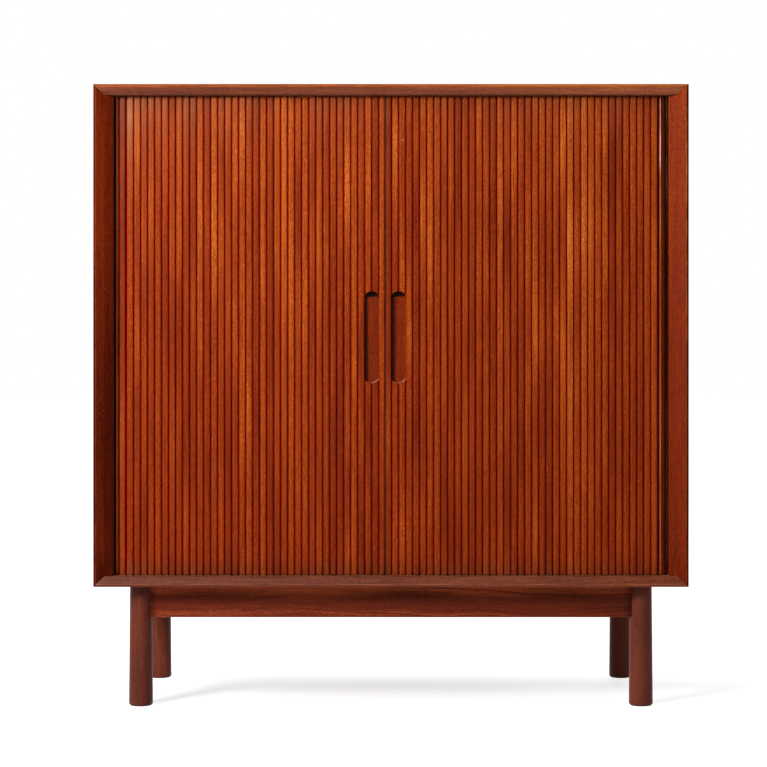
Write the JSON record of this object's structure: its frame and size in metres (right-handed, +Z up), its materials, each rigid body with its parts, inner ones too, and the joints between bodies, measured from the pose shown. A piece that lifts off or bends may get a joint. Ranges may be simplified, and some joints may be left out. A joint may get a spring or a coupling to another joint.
{
  "type": "tambour door cabinet",
  "caption": "Free-standing teak cabinet on round legs, with a bevelled mitred case front and two tambour doors that slide apart round the corners into side pockets.",
  "frame": {"origin": "on the floor, below the centre of the case", "axes": "+X to the right seen from the front, +Y to the back, +Z up; the doors face -Y"},
  "size_m": [1.16, 0.46, 1.218],
  "materials": {
    "teak_slats": "satin oiled, each slat its own tone",
    "teak_posts": "satin oiled",
    "teak_edging": "satin oiled",
    "teak_panels": "satin oiled veneer",
    "teak_base": "satin oiled",
    "interior_veneer": "matt lacquered veneer",
    "back_veneer": "plain veneered plywood",
    "brass": "satin",
    "steel": "plain",
    "nylon": "matt"
  },
  "bodies": {
    "case": {"left_curtain": "teak_slats", "right_curtain": "teak_slats", "left_front_post": "teak_posts", "right_front_post": "teak_posts", "top_front_edging": "teak_edging", "bottom_front_edging": "teak_edging", "top_panel": "teak_panels", "bottom_panel": "teak_panels", "left_side_panel": "teak_panels", "right_side_panel": "teak_panels", "back_panel": "back_veneer", "left_liner": "interior_veneer", "right_liner": "interior_veneer", "false_back": "interior_veneer", "divider": "interior_veneer", "left_lower_shelf": "interior_veneer", "left_lower_outer_front_pin": "brass", "left_lower_outer_rear_pin": "brass", "left_lower_inner_front_pin": "brass", "left_lower_inner_rear_pin": "brass", "left_upper_shelf": "interior_veneer", "left_upper_outer_front_pin": "brass", "left_upper_outer_rear_pin": "brass", "left_upper_inner_front_pin": "brass", "left_upper_inner_rear_pin": "brass", "right_lower_shelf": "interior_veneer", "right_lower_outer_front_pin": "brass", "right_lower_outer_rear_pin": "brass", "right_lower_inner_front_pin": "brass", "right_lower_inner_rear_pin": "brass", "right_upper_shelf": "interior_veneer", "right_upper_outer_front_pin": "brass", "right_upper_outer_rear_pin": "brass", "right_upper_inner_front_pin": "brass", "right_upper_inner_rear_pin": "brass", "front_left_leg": "teak_base", "front_left_glide": "nylon", "front_left_corner_block": "teak_base", "front_left_block_screw": "steel", "front_right_leg": "teak_base", "front_right_glide": "nylon", "front_right_corner_block": "teak_base", "front_right_block_screw": "steel", "rear_left_leg": "teak_base", "rear_left_glide": "nylon", "rear_left_corner_block": "teak_base", "rear_left_block_screw": "steel", "rear_right_leg": "teak_base", "rear_right_glide": "nylon", "rear_right_corner_block": "teak_base", "rear_right_block_screw": "steel", "front_rail": "teak_base", "rear_rail": "teak_base", "left_rail": "teak_base", "right_rail": "teak_base"},
    "left_door": {"left_lead_stile": "teak_slats"},
    "right_door": {"right_lead_stile": "teak_slats"}
  },
  "joints": [
    {"name": "left_door_slide", "type": "slide", "parent": "case", "child": "left_door", "axis": [-1, 0, 0], "range_m": [0, 0.4545], "deforming": ["left_curtain"]},
    {"name": "right_door_slide", "type": "slide", "parent": "case", "child": "right_door", "axis": [1, 0, 0], "range_m": [0, 0.4765], "deforming": ["right_curtain"]}
  ]
}
